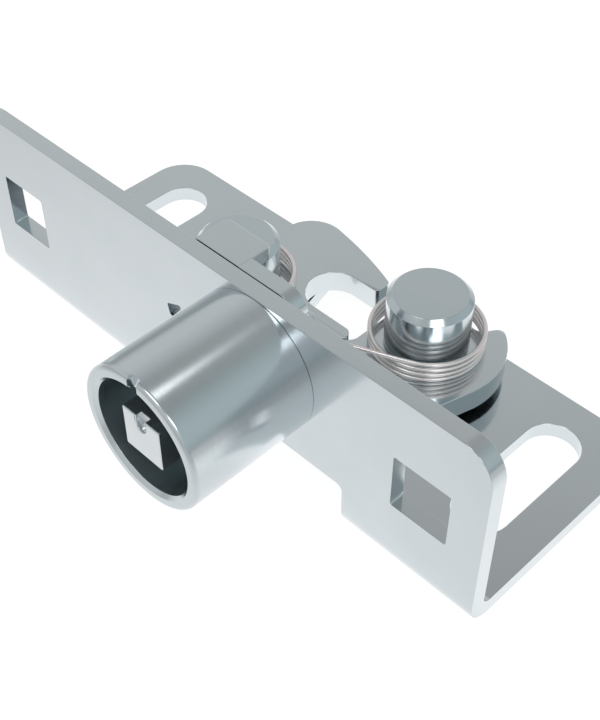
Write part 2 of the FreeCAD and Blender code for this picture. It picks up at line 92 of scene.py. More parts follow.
def rounded(corners: list[Corner], steps: int = 8) -> Array:
    """Draws a closed outline with its corners rounded.

    Each corner's arc touches both of its sides, at a distance of the radius over the
    tangent of half the angle between them, and is filled in by turning evenly from one
    touching point to the other about the arc's centre.

    Args:
        corners: place and radius of each corner, (a, b, radius), in order.
        steps: parts that each rounding is divided into.

    Returns:
        Points of the outline, one row each.
    """
    rows = np.array(corners, float)
    points, radius = rows[:, :2], rows[:, 2:]
    back = unit(np.roll(points, 1, 0) - points)
    ahead = unit(np.roll(points, -1, 0) - points)
    cosine = np.clip((back * ahead).sum(1, keepdims=True), -1, 1)
    half = np.arccos(cosine) / 2
    centre = points + unit(back + ahead) * radius / np.sin(half)
    first = points + back * radius / np.tan(half) - centre
    last = points + ahead * radius / np.tan(half) - centre
    turn = np.pi - 2 * half
    share = np.linspace(0, 1, steps + 1)[None, :, None]
    scale = np.where(np.sin(turn) < 1e-9, 1.0, np.sin(turn))[:, None, :]
    swing = (np.sin((1 - share) * turn[:, None, :]) * first[:, None, :]
             + np.sin(share * turn[:, None, :]) * last[:, None, :]) / scale
    outline = (centre[:, None, :] + swing).reshape(-1, 2)
    apart = np.linalg.norm(outline - np.roll(outline, 1, 0), axis=1)
    return outline[apart > 1e-5]


def arc(centre: tuple[float, float], radius: float, start: float, end: float,
        steps: int = 24) -> list[Corner]:
    """Points on a circle, as corners without rounding.

    Args:
        centre: centre of the circle.
        radius: its radius.
        start: first angle, in degrees.
        end: last angle, in degrees; a smaller one runs clockwise.
        steps: parts that the arc is divided into.

    Returns:
        The arc's points as (a, b, 0).
    """
    angles = np.radians(np.linspace(start, end, steps + 1))
    return [(centre[0] + radius * math.cos(t), centre[1] + radius * math.sin(t), 0.0)
            for t in angles]


def polar(centre: tuple[float, float], radius: float, degrees: float) -> tuple[float, float]:
    """Point at a radius and angle about a centre."""
    angle = math.radians(degrees)
    return centre[0] + radius * math.cos(angle), centre[1] + radius * math.sin(angle)


def circle(centre: tuple[float, float], radius: float, points: int = 45) -> Array:
    """Outline of a circle, its points evenly spaced."""
    return rounded(arc(centre, radius, 0, 360 - 360 / points, points - 1), 1)


def rectangle(left: float, right: float, low: float, high: float,
              radius: float) -> list[Corner]:
    """Corners of a rectangle, all rounded alike."""
    return [(left, low, radius), (right, low, radius),
            (right, high, radius), (left, high, radius)]


def to_row(points: Array) -> Array:
    """Moves points in mm, with Y from the flange's front face, to the latch's frame in m."""
    return (points + np.array([0.0, FLANGE_Y, 0.0])) * MM


def link(name: str, mesh: bpy.types.Mesh, smooth_angle: float = 30.0) -> bpy.types.Object:
    """Puts a finished mesh into the scene at the origin.

    Args:
        name: the piece's name.
        mesh: its mesh, in metres.
        smooth_angle: edges that turn by more, in degrees, stay sharp.

    Returns:
        The new object.
    """
    shell = bmesh.new()
    shell.from_mesh(mesh)
    bmesh.ops.remove_doubles(shell, verts=shell.verts, dist=1e-7)
    bmesh.ops.recalc_face_normals(shell, faces=shell.faces)
    for face in shell.faces:
        face.smooth = True
    limit = math.radians(smooth_angle)
    for edge in shell.edges:
        edge.smooth = len(edge.link_faces) == 2 and edge.calc_face_angle() < limit
    shell.to_mesh(mesh)
    shell.free()
    piece = bpy.data.objects.new(name, mesh)
    bpy.context.scene.collection.objects.link(piece)
    weighted = piece.modifiers.new("Face weighted normals", "WEIGHTED_NORMAL")
    weighted.keep_sharp = True
    return piece


def grid_mesh(name: str, grid: Array, close_across: bool, close_along: bool) -> bpy.types.Mesh:
    """Skins a grid of points with four-sided faces.

    Args:
        name: the mesh's name.
        grid: points, shaped (along, across, 3), in mm from the flange's front face.
        close_across: the last column joins the first.
        close_along: the last row joins the first.

    Returns:
        The mesh, in metres.
    """
    rows, columns = grid.shape[:2]
    index = np.arange(rows * columns).reshape(rows, columns)
    if close_across:
        index = np.hstack([index, index[:, :1]])
    if close_along:
        index = np.vstack([index, index[:1]])
    faces = np.stack([index[:-1, :-1], index[:-1, 1:], index[1:, 1:], index[1:, :-1]], -1)
    mesh = bpy.data.meshes.new(name)
    mesh.from_pydata(to_row(grid.reshape(-1, 3)).tolist(), [], faces.reshape(-1, 4).tolist())
    return mesh


def turned(name: str, profile: Array, centre: tuple[float, float], axis: Axis,
           angles: Array | None = None) -> bpy.types.Mesh:
    """Turns a closed half section about an axis.

    A point of the section at radius r and station s goes to the centre plus r times the
    cosine and sine of the angle, at s along the axis.

    Args:
        name: the mesh's name.
        profile: the section's points, (radius, station) in mm.
        centre: the axis's place, (x, z) for an axis along Y or (x, y) for an upright one.
        axis: the axis's direction.
        angles: angles of the columns, in radians, where even ones won't do.

    Returns:
        The mesh, in metres.
    """
    if angles is None:
        angles = np.linspace(0, 2 * np.pi, COLUMNS, endpoint=False)
    radius, station = profile[:, :1], profile[:, 1:]
    across = centre[0] + radius * np.cos(angles)[None, :]
    other = centre[1] + radius * np.sin(angles)[None, :]
    along = np.broadcast_to(station, across.shape)
    order = [across, along, other] if axis is Axis.ALONG_Y else [across, other, along]
    return grid_mesh(name, np.stack(order, -1), True, True)


def cut_sheet(name: str, outline: Array, holes: list[Array], thickness: float,
              edge: float) -> bpy.types.Mesh:
    """Fills an outline with holes and gives it thickness and rounded edges.

    Args:
        name: the mesh's name.
        outline: the outer outline, (a, b) in mm.
        holes: outlines of the holes.
        thickness: the sheet's thickness in mm, to both sides of the drawing.
        edge: radius of the worn edges in mm, inside the outline.

    Returns:
        The mesh, in mm, drawn flat.
    """
    curve = bpy.data.curves.new(name, "CURVE")
    curve.dimensions = "2D"
    curve.fill_mode = "BOTH"
    curve.bevel_depth = edge
    curve.bevel_resolution = 2
    curve.offset = -edge
    curve.extrude = thickness / 2 - edge
    for loop in [outline, *holes]:
        spline = curve.splines.new("POLY")
        spline.points.add(len(loop) - 1)
        flat = np.hstack([loop, np.zeros((len(loop), 1)), np.ones((len(loop), 1))])
        spline.points.foreach_set("co", flat.ravel())
        spline.use_cyclic_u = True
    carrier = bpy.data.objects.new(name, curve)
    mesh = bpy.data.meshes.new_from_object(carrier)
    bpy.data.objects.remove(carrier)
    bpy.data.curves.remove(curve)
    return mesh


def points_of(mesh: bpy.types.Mesh) -> Array:
    """Reads a mesh's points.

    Args:
        mesh: the mesh.

    Returns:
        Its points as it holds them, one row each.
    """
    flat = np.empty(len(mesh.vertices) * 3)
    mesh.vertices.foreach_get("co", flat)
    return flat.reshape(-1, 3)


def move_points(mesh: bpy.types.Mesh, points: Array) -> bpy.types.Mesh:
    """Gives a mesh new points.

    Args:
        mesh: the mesh.
        points: its new points, one row each, in mm from the flange's front face.

    Returns:
        The same mesh, in metres.
    """
    mesh.vertices.foreach_set("co", to_row(points).ravel())
    mesh.update()
    return mesh


def laid_level(mesh: bpy.types.Mesh, height: float) -> bpy.types.Mesh:
    """Lays a flat drawing level: (a, b, h) goes to (a, b, h plus the height).

    Args:
        mesh: the drawing, in mm, with its middle at zero.
        height: the height of its middle, in mm.

    Returns:
        The same mesh, in metres.
    """
    flat = points_of(mesh)
    flat[:, 2] += height
    return move_points(mesh, flat)


def stood_up(mesh: bpy.types.Mesh, place: float) -> bpy.types.Mesh:
    """Stands a flat drawing up: (a, b, h) goes to (a, h plus the place, b).

    Args:
        mesh: the drawing, in mm, with its middle at zero.
        place: the place of its middle along Y, in mm from the flange's front face.

    Returns:
        The same mesh, in metres.
    """
    flat = points_of(mesh)
    return move_points(mesh, np.stack([flat[:, 0], flat[:, 2] + place, flat[:, 1]], 1))


def wire_mesh(name: str, path: Array, radius: float, sides: int = 12) -> bpy.types.Mesh:
    """Carries a circle along a path that never stands upright.

    At each point the circle's plane is square to the path. Its first direction is the
    path's cross product with Z, its second is square to both. Both ends close in a low
    dome: a ring of 0.7 times the radius, 0.2 of the radius beyond the path's end, and a
    point 0.3 of the radius beyond it.

    Args:
        name: the mesh's name.
        path: the path's points, in mm from the flange's front face.
        radius: the wire's radius in mm.
        sides: points in each circle.

    Returns:
        The mesh, in metres.
    """
    ahead = unit(np.gradient(path, axis=0))
    ends = np.array([0.0, 0.7])
    size = np.concatenate([ends, np.ones(len(path)), ends[::-1]])
    lead = np.array([-0.3, -0.2])[:, None] * radius
    path = np.vstack([path[:1] + lead * ahead[:1], path, path[-1:] - lead[::-1] * ahead[-1:]])
    ahead = np.vstack([ahead[[0, 0]], ahead, ahead[[-1, -1]]])
    side = unit(np.cross(ahead, [0.0, 0.0, 1.0]))
    up = np.cross(side, ahead)
    angles = np.linspace(0, 2 * np.pi, sides, endpoint=False)[None, :, None]
    ring = np.cos(angles) * side[:, None, :] + np.sin(angles) * up[:, None, :]
    grid = path[:, None, :] + ring * (radius * size)[:, None, None]
    return grid_mesh(name, grid, True, False)


def node(tree: bpy.types.NodeTree, kind: str, settings: dict | None = None,
         inputs: dict | None = None) -> bpy.types.Node:
    """Adds a node with its settings and links.

    Args:
        tree: the tree that takes the node.
        kind: the node's type.
        settings: properties to set, by name.
        inputs: values or output sockets for its inputs, by name or number.

    Returns:
        The node.
    """
    made = tree.nodes.new(kind)
    for name, value in (settings or {}).items():
        setattr(made, name, value)
    for name, value in (inputs or {}).items():
        if isinstance(value, bpy.types.NodeSocket):
            tree.links.new(value, made.inputs[name])
        else:
            made.inputs[name].default_value = value
    return made


@dataclass(frozen=True)
class Finish:
    """A surface finish: colour, gloss and the fine marks on it.

    The roughness spreads between its two values, and the marks take `mark_share` of that
    spread. They are `mark_mm` wide, and longer by one over `drawn_out` along a lay.
    """

    name: str
    slot: str
    colour: str
    patch_colour: str
    roughness: tuple[float, float]
    metallic: float = 1.0
    lay: Lay = Lay.EVEN
    mark_mm: float = 0.35
    mark_share: float = 0.35
    patch_mm: float = 7.0
    drawn_out: float = 0.03

    def material(self) -> bpy.types.Material:
        """Builds the finish.

        Soft patches shift the colour and the roughness a little. Fine marks are a noise
        that is drawn out along the lay, which for turned work leaves it nearly constant
        round the axis; they take their share of the change in roughness.

        Returns:
            The material.
        """
        made = bpy.data.materials.new(self.name)
        made.use_nodes = True
        tree = made.node_tree
        tree.nodes.clear()
        place = node(tree, "ShaderNodeTexCoord").outputs["Object"]
        fine = 1 / (self.mark_mm * MM)
        along = self.drawn_out * fine
        scale = {Lay.EVEN: (fine, fine, fine), Lay.RINGS_Y: (along, fine, along),
                 Lay.RINGS_Z: (along, along, fine)}[self.lay]
        drawn = node(tree, "ShaderNodeMapping", inputs={"Vector": place, "Scale": scale})
        marks = node(tree, "ShaderNodeTexNoise", inputs={
            "Vector": drawn.outputs[0], "Scale": 1.0, "Detail": 3.0})
        patches = node(tree, "ShaderNodeTexNoise", inputs={
            "Vector": place, "Scale": 1 / (self.patch_mm * MM), "Detail": 2.0})
        colour = node(tree, "ShaderNodeMix", {"data_type": "RGBA"}, {
            0: patches.outputs["Fac"], 6: srgb(self.colour), 7: srgb(self.patch_colour)})
        grain = node(tree, "ShaderNodeMix", {"data_type": "FLOAT"}, {
            0: self.mark_share, 2: patches.outputs["Fac"], 3: marks.outputs["Fac"]})
        rough = node(tree, "ShaderNodeMapRange", inputs={
            "Value": grain.outputs[0],
            "From Min": NOISE_SPREAD[0], "From Max": NOISE_SPREAD[1],
            "To Min": self.roughness[0], "To Max": self.roughness[1]})
        shader = node(tree, "ShaderNodeBsdfPrincipled", inputs={
            "Base Color": colour.outputs[2], "Metallic": self.metallic,
            "Roughness": rough.outputs[0]})
        node(tree, "ShaderNodeOutputMaterial", inputs={"Surface": shader.outputs[0]})
        return made


# Blue-passivated zinc on rolled and blanked sheet: bluish grey, even, softly mirroring
ZINC_SHEET = Finish("zinc_plated_sheet", "zinc_plated_sheet", "#d1d7da", "#ccd3d6",
                    (0.10, 0.18), mark_mm=0.5)
# The same zinc over the fine rings that turning leaves on the barrel
ZINC_BARREL = Finish("zinc_plated_turned_barrel", "zinc_plated_turned_steel", "#d0d7da",
                     "#cad2d6", (0.16, 0.22), lay=Lay.RINGS_Y, mark_mm=0.3, mark_share=0.6)
# Zinc over the bored inside: duller than the outside, so it gathers light from its mouth, and
# painted paler than the outside as painted light, standing in for the light bounced round deep
# in the bore
ZINC_BORE_PAINTED_LIGHTER = Finish("zinc_plated_bored_inside", "zinc_plated_turned_steel", "#d6e0e3",
                   "#cbd7db", (0.26, 0.33), lay=Lay.RINGS_Y, mark_mm=0.3, mark_share=0.6)
# The same zinc on the pins, whose faced heads mirror the coils round them
ZINC_PIN = Finish("zinc_plated_turned_pin", "zinc_plated_turned_steel", "#ccd4d7",
                  "#c5ced2", (0.12, 0.17), lay=Lay.RINGS_Z, mark_mm=0.3, mark_share=0.6)
# Zinc on the milled key square: paler and duller than the turned parts
ZINC_SQUARE = Finish("zinc_plated_milled_square", "zinc_plated_turned_steel", "#dee3e5",
                     "#d8dddf", (0.20, 0.26), mark_mm=0.25)
# Drawn spring wire, tin bright, with a warm cast beside the zinc
DRAWN_WIRE = Finish("drawn_spring_wire", "spring_wire", "#f3ecea", "#e9e2e0",
                    (0.26, 0.34), mark_mm=0.2)
# Moulded nitrile rubber: black, dull, slightly grainy
NITRILE = Finish("moulded_nitrile_rubber", "seal_rubber", "#141414", "#1c1c1c",
                 (0.50, 0.70), metallic=0.0, mark_mm=0.15, mark_share=0.8)


class Workshop:
    """Keeps the materials, and finishes each piece in the same way."""

    def __init__(self) -> None:
        """Starts with no materials made."""
        self.materials: dict[str, bpy.types.Material] = {}

    def material(self, finish: Finish) -> bpy.types.Material:
        """Finds the finish's material, and makes it on first use.

        Args:
            finish: the finish.

        Returns:
            The material, one for all the pieces that have this finish.
        """
        if finish.name not in self.materials:
            self.materials[finish.name] = finish.material()
        return self.materials[finish.name]

    def dress(self, piece: bpy.types.Object, finish: Finish) -> None:
        """Gives a piece one finish all over."""
        piece.data.materials.clear()
        piece.data.materials.append(self.material(finish))

    def fit(self, piece: bpy.types.Object, finish: Finish, body: str, *nodes: str) -> None:
        """Dresses a piece, lets it ride on its body and stand for its CAD nodes.

        Args:
            piece: the finished piece.
            finish: its surface.
            body: name of the body that it moves with.
            nodes: the CAD nodes that it stands for.
        """
        self.dress(piece, finish)
        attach(piece, body)
        if nodes:
            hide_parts(*nodes)
        LOG.info("%s: %d faces on %s", piece.name, len(piece.data.polygons), body)

    def keep(self, name: str, finish: Finish) -> None:
        """Keeps a CAD node as it is, with a new surface."""
        self.dress(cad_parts[name], finish)
        LOG.info("%s: kept from the frame", name)


@dataclass
class Bracket:
    """Bent sheet that carries everything. Sizes in mm.

    A slot is its width, front and back. The window is its left, right, base and flange
    edges. The notch is its left side at the mouth, its left and right sides at the root,
    and the root. The spigot's hole is its centre (x, z) and radius.
    """

    length: float = 115.0
    depth: float = 46.0
    height: float = 37.3
    sheet: float = 3.0
    bend: float = 4.7
    edge: float = 0.1
    bend_cuts: int = 12
    square: float = 10.5
    square_at: tuple[float, float] = (46.15, 20.0)
    slot: tuple[float, float, float] = (9.8, 12.0, 40.0)
    slot_at: float = 45.9
    window: tuple[float, float, float, float] = (-5.3, 31.4, 12.0, 10.3)
    notch: tuple[float, float, float, float] = (-10.6, -5.1, 6.6, 25.0)
    pierced: tuple[tuple[float, float], ...] = ((-7.75, 22.96), (-7.06, 20.33), (-3.4, 25.0))
    spigot: tuple[float, float, float] = (13.1, 24.9, 8.03)
    rivets: tuple[tuple[float, float], ...] = ((-14.3, 21.55), (18.9, 34.2))
    rivet_radius: float = 4.03
    base_corner: float = 7.0
    flange_corner: float = 5.5
    notch_corner: float = 3.0
    mouth_corner: float = 1.0
    window_corner: float = 1.2
    square_corner: float = 0.35
    pierced_corner: float = 0.4

    @property
    def bend_length(self) -> float:
        """Length of the bend along the middle of the sheet."""
        return (self.bend - self.sheet / 2) * math.pi / 2

    def on_base(self, y: float) -> float:
        """Place on the flat sheet of a line on the base."""
        return self.bend - y

    def on_flange(self, z: float) -> float:
        """Place on the flat sheet of a line on the flange."""
        return self.bend_length + z - self.bend

    def flat_outline(self) -> Array:
        """Draws the flat sheet's edge, with the striker notch and its leaning left side.

        Returns:
            The outer outline, (x, place on the sheet) in mm.
        """
        half, back = self.length / 2, self.on_base(self.depth)
        mouth, left, right, front = self.notch
        root, top = self.on_base(front), self.on_flange(self.height)
        return rounded([
            (-half, back, self.base_corner), (mouth, back, self.mouth_corner),
            (left, root, self.notch_corner), (right, root, self.notch_corner),
            (right, back, self.mouth_corner), (half, back, self.base_corner),
            (half, top, self.flange_corner), (-half, top, self.flange_corner)])

    def flat_holes(self) -> list[Array]:
        """Draws all the holes in the flat sheet.

        Returns:
            Their outlines, (x, place on the sheet) in mm.
        """
        holes = []
        width, front, back = self.slot
        half, up = self.square / 2, self.on_flange(self.square_at[1])
        for side in (-1, 1):
            middle = side * self.slot_at
            holes.append(rounded(rectangle(middle - width / 2, middle + width / 2,
                                           self.on_base(back), self.on_base(front),
                                           width / 2 - HAIR)))
            middle = side * self.square_at[0]
            holes.append(rounded(rectangle(middle - half, middle + half, up - half,
                                           up + half, self.square_corner), 3))
        left, right, base_edge, flange_edge = self.window
        holes.append(rounded(rectangle(left, right, self.on_base(base_edge),
                                       self.on_flange(flange_edge), self.window_corner)))
        holes.append(rounded([(x, self.on_flange(z), self.pierced_corner)
                              for x, z in self.pierced], 4))
        x, z, radius = self.spigot
        holes.append(circle((x, self.on_flange(z)), radius, 72))
        for x, y in self.rivets:
            holes.append(circle((x, self.on_base(y)), self.rivet_radius))
        return holes

    def folded(self, flat: Array) -> Array:
        """Bends the flat sheet up.

        Before the bend a point keeps its place on the base. Within it the point turns
        about the bend's axis, at the bend's outer radius less its height in the sheet, and
        after it the point stands on the flange.

        Args:
            flat: points (x, place on the sheet, height in the sheet from its middle).

        Returns:
            The same points in the latch, in mm.
        """
        x, place = flat[:, 0], flat[:, 1]
        height = flat[:, 2] + self.sheet / 2
        turn = np.clip(place / self.bend_length, 0, 1) * np.pi / 2
        reach = self.bend - height
        y = self.bend - reach * np.sin(turn) - np.minimum(place, 0)
        z = self.bend - reach * np.cos(turn) + np.maximum(place - self.bend_length, 0)
        return np.stack([x, y, z], 1)

    def build(self, shop: Workshop) -> None:
        """Blanks the sheet, cuts rows across the bend and folds it.

        Args:
            shop: the workshop that finishes the bracket.
        """
        mesh = cut_sheet("bracket_sheet", self.flat_outline(), self.flat_holes(),
                         self.sheet, self.edge)
        shell = bmesh.new()
        shell.from_mesh(mesh)
        bmesh.ops.remove_doubles(shell, verts=shell.verts, dist=1e-4)
        for place in np.linspace(0, self.bend_length, self.bend_cuts + 1):
            everything = shell.verts[:] + shell.edges[:] + shell.faces[:]
            bmesh.ops.bisect_plane(shell, geom=everything, dist=1e-5,
                                   plane_co=(0, place, 0), plane_no=(0, 1, 0))
        shell.to_mesh(mesh)
        shell.free()
        move_points(mesh, self.folded(points_of(mesh)))
        shop.fit(link("bracket_sheet", mesh), ZINC_SHEET, "frame", "bracket")


@dataclass
class KeyUnit:
    """Barrel on the flange with the key spindle inside. Sizes in mm.

    The collar is its radius, front and back. The index mark's walls take `mark_wall` of
    half its width, and the dense columns round it reach `mark_reach` times as far as it.
    """

    centre: tuple[float, float] = (13.1, 24.9)
    outer: float = 12.2
    bore: float = 9.8
    front: float = -23.0
    web: float = -6.0
    spigot: float = 8.0
    journal: float = 6.0
    sheet: float = 3.0
    mark_width: float = 2.0
    mark_depth: float = 1.0
    square: float = 8.0
    square_front: float = -22.4
    square_notch: float = 2.75
    collar: tuple[float, float, float] = (9.45, -8.6, -6.6)
    edge: float = 0.25
    columns: int = 160
    mark_columns: int = 65
    mark_reach: float = 1.15
    mark_wall: float = 0.12
    lead_in: float = 0.6
    rim_corner: float = 0.8
    running: float = 0.05
    square_corner: float = 0.35
    stem_overlap: float = 1.0
    core_back: float = 3.5

    def barrel(self, shop: Workshop) -> bpy.types.Object:
        """Turns the barrel, cuts the index mark into its rim and dresses it.

        The mark is a slot: near the top of the rim no point lies further forward than the
        mark's depth, over all of its width but the last eighth at each side, where its
        walls come forward evenly. Faces in the bore, told by the distance of their middle
        from the axis, take the second finish.

        Args:
            shop: the workshop, for the two finishes.

        Returns:
            The barrel.
        """
        lead, hole = self.lead_in, self.journal + self.running
        profile = rounded([
            (self.bore + lead, self.front, 0.15), (self.outer, self.front, self.rim_corner),
            (self.outer, 0.0, 0.15), (self.spigot, 0.0, 0.1), (self.spigot, self.sheet, 0.2),
            (hole, self.sheet, 0.2), (hole, self.web, 0.1), (self.bore, self.web, 0.3),
            (self.bore, self.front + lead, 0.1)], 8)
        spread = math.asin(self.mark_width / 2 / self.bore) * self.mark_reach
        near = np.linspace(np.pi / 2 - spread, np.pi / 2 + spread, self.mark_columns)
        rest = np.linspace(near[-1], near[0] + 2 * np.pi, self.columns)[1:-1]
        mesh = turned("barrel_shell", profile, self.centre, Axis.ALONG_Y,
                      np.concatenate([near, rest]))
        points = points_of(mesh) / MM - np.array([0.0, FLANGE_Y, 0.0])
        across = np.abs(points[:, 0] - self.centre[0]) / (self.mark_width / 2)
        floor = self.front + self.mark_depth * np.clip((1 - across) / self.mark_wall, 0, 1)
        on_top = (points[:, 2] > self.centre[1]) & (across < 1)
        points[:, 1] = np.where(on_top, np.maximum(points[:, 1], floor), points[:, 1])
        piece = link("barrel_shell", move_points(mesh, points), 35)
        shop.fit(piece, ZINC_BARREL, "frame", "barrel")
        # The bore's finish is painted paler than the outside: painted light for the light
        # bounced round inside the bore
        mesh.materials.append(shop.material(ZINC_BORE_PAINTED_LIGHTER))
        middles = np.empty(len(mesh.polygons) * 3)
        mesh.polygons.foreach_get("center", middles)
        middles = middles.reshape(-1, 3) / MM
        reach = np.hypot(middles[:, 0] - self.centre[0], middles[:, 2] - self.centre[1])
        inside = (reach < self.bore + 0.01) & (middles[:, 1] < self.web + FLANGE_Y)
        mesh.polygons.foreach_set("material_index", inside.astype(np.int32))
        return piece

    def square_slab(self, name: str, front: float, back: float,
                    notched: bool) -> bpy.types.Object:
        """Makes a length of the key square.

        Args:
            name: the piece's name.
            front: its front face, in mm from the flange's.
            back: its back face.
            notched: whether its top has the index notch.

        Returns:
            The piece.
        """
        x, z = self.centre
        half = self.square / 2
        corners = rectangle(x - half, x + half, z - half, z + half, self.square_corner)
        if notched:
            top, wide = z + half, self.mark_width / 2
            bottom = top - self.square_notch
            corners[3:3] = [(x + wide, top, 0.1), (x + wide, bottom, wide - HAIR),
                            (x - wide, bottom, wide - HAIR), (x - wide, top, 0.1)]
        mesh = cut_sheet(name, rounded(corners, 4), [], back - front, self.edge)
        return link(name, stood_up(mesh, (front + back) / 2))

    def build(self, shop: Workshop) -> None:
        """Makes the barrel and the spindle's parts.

        The square's notched tip and its plain stem overlap by twice the worn edge, so no
        groove shows between them.

        Args:
            shop: the workshop that finishes the pieces.
        """
        self.barrel(shop)
        seam = self.square_front + self.mark_depth
        tip = self.square_slab("key_square_tip", self.square_front,
                               seam + 2 * self.edge, True)
        shop.fit(tip, ZINC_SQUARE, "key_spindle", "spindle")
        stem = self.square_slab("key_square_stem", seam,
                                self.collar[1] + self.stem_overlap, False)
        shop.fit(stem, ZINC_SQUARE, "key_spindle", "spindle")
        radius, front, back = self.collar
        profile = rounded([
            (0.0, front, 0), (radius, front, 0.3), (radius, back, 0.1),
            (self.journal, back, 0.1), (self.journal, self.core_back, 0.1),
            (0.0, self.core_back, 0)], 4)
        core = link("spindle_core", turned("spindle_core", profile, self.centre,
                                           Axis.ALONG_Y))
        shop.fit(core, ZINC_BARREL, "key_spindle", "spindle")
        shop.keep("spindle_washer", ZINC_BARREL)
        shop.keep("spindle_seal", NITRILE)


@dataclass
class ReleasePlate:
    """Lever behind the flange, with the washer and screw that hold it. Sizes in mm.

    The wing is its left and right sides, and the finger its left, right and lower ends.
    The plate's top lies `tab_cover` below the tab's, so that only one of them shows.
    """

    centre: tuple[float, float] = (13.1, 24.9)
    front: float = 3.2
    thickness: float = 2.8
    hub: float = 9.5
    top: float = 37.3
    wing: tuple[float, float] = (-3.25, 18.3)
    wing_low: float = 33.1
    tab_right: float = 6.4
    tab_back: float = 10.0
    tab_sheet: float = 2.5
    tab_cover: float = 0.04
    finger: tuple[float, float, float] = (7.0, 11.3, 4.6)
    edge: float = 0.1
    washer: float = 1.0
    screw_across: float = 8.0
    screw_head: float = 3.5
    screw_edge: float = 0.5

    def angle_at(self, x: float, upper: bool) -> float:
        """Angle on the hub's rim at a place across, above or below the axis."""
        share = math.acos((x - self.centre[0]) / self.hub)
        return math.degrees(share if upper else -share)

    def outline(self) -> Array:
        """Draws the plate, clockwise from the wing's top left corner.

        Returns:
            The outline, (x, z) in mm.
        """
        left, right = self.wing
        finger_left, finger_right, tip = self.finger
        top = self.top - self.tab_cover
        return rounded([
            (left, top, 0.8), (right, top, 3.5),
            *arc(self.centre, self.hub, self.angle_at(right, True),
                 self.angle_at(finger_right, False), 40),
            (finger_right, tip, 0.8), (finger_left, tip, 1.6),
            *arc(self.centre, self.hub, self.angle_at(finger_left, False) + 360, 198, 12),
            (left, self.wing_low, 1.5)])

    def build(self, shop: Workshop) -> None:
        """Makes the plate, its bent tab and the screw's head, and keeps the washer.

        Args:
            shop: the workshop that finishes the pieces.
        """
        mesh = cut_sheet("release_lever", self.outline(), [], self.thickness, self.edge)
        stood_up(mesh, self.front + self.thickness / 2)
        shop.fit(link("release_lever", mesh), ZINC_SHEET, "key_spindle", "release_plate")

        left, right = self.wing[0], self.tab_right
        tab = rounded([(left, self.front, 0.1), (right, self.front, 0.1),
                       (right, self.tab_back, 0.8), (left, self.tab_back, 0.8)])
        mesh = cut_sheet("release_tab", tab, [], self.tab_sheet, self.edge)
        laid_level(mesh, self.top - self.tab_sheet / 2)
        shop.fit(link("release_tab", mesh), ZINC_SHEET, "key_spindle", "release_plate")

        shop.keep("plate_washer", ZINC_BARREL)
        corner = self.screw_across / math.sqrt(3)
        hexagon = rounded([(*polar(self.centre, corner, 60 * step), 0.3)
                           for step in range(6)], 3)
        mesh = cut_sheet("screw_head", hexagon, [], self.screw_head, self.screw_edge)
        seat = self.front + self.thickness + self.washer
        stood_up(mesh, seat + self.screw_head / 2)
        shop.fit(link("screw_head", mesh), ZINC_BARREL, "key_spindle", "plate_screw")


@dataclass
class Lever:
    """A flat lever on a headed pin: the claw or the pawl. Sizes in mm."""

    name: str
    body: str
    pivot: tuple[float, float]
    low: float = 4.85
    high: float = 9.35
    bore: float = 5.05
    edge: float = 0.12
    head: float = 7.35
    head_low: float = 9.45
    head_top: float = 20.2
    chamfer: float = 0.95
    journal: float = 5.0
    rivet: float = 4.0
    sheet: float = 3.0

    def outline(self) -> Array:
        """The lever's outline; each kind of lever draws its own."""
        raise NotImplementedError

    def plate(self) -> bpy.types.Object:
        """Blanks the lever with its bore and sets it at its height.

        Returns:
            The lever.
        """
        mesh = cut_sheet(f"{self.name}_plate", self.outline(),
                         [circle(self.pivot, self.bore)], self.high - self.low, self.edge)
        return link(f"{self.name}_plate", laid_level(mesh, (self.low + self.high) / 2))

    def pin(self) -> bpy.types.Object:
        """Turns the pin, from the rivet flush with the base to the chamfered head.

        Returns:
            The pin.
        """
        edge = self.head_top - self.chamfer
        profile = rounded([
            (0.0, 0.0, 0), (self.rivet, 0.0, 0.3), (self.rivet, self.sheet, 0),
            (self.journal, self.sheet, 0), (self.journal, self.head_low, 0.1),
            (self.head, self.head_low, 0.2), (self.head, edge, 0.15),
            (self.head - self.chamfer, self.head_top, 0.15), (0.0, self.head_top, 0)], 4)
        return link(f"{self.name}_headed_pin", turned(
            f"{self.name}_headed_pin", profile, self.pivot, Axis.UPRIGHT), 40)

    def build(self, shop: Workshop) -> None:
        """Makes the lever and its pin, and keeps its washer.

        Args:
            shop: the workshop that finishes the pieces.
        """
        shop.fit(self.plate(), ZINC_SHEET, self.body, self.name)
        shop.fit(self.pin(), ZINC_PIN, "frame", f"{self.name}_pin")
        shop.keep(f"{self.name}_washer", ZINC_SHEET)


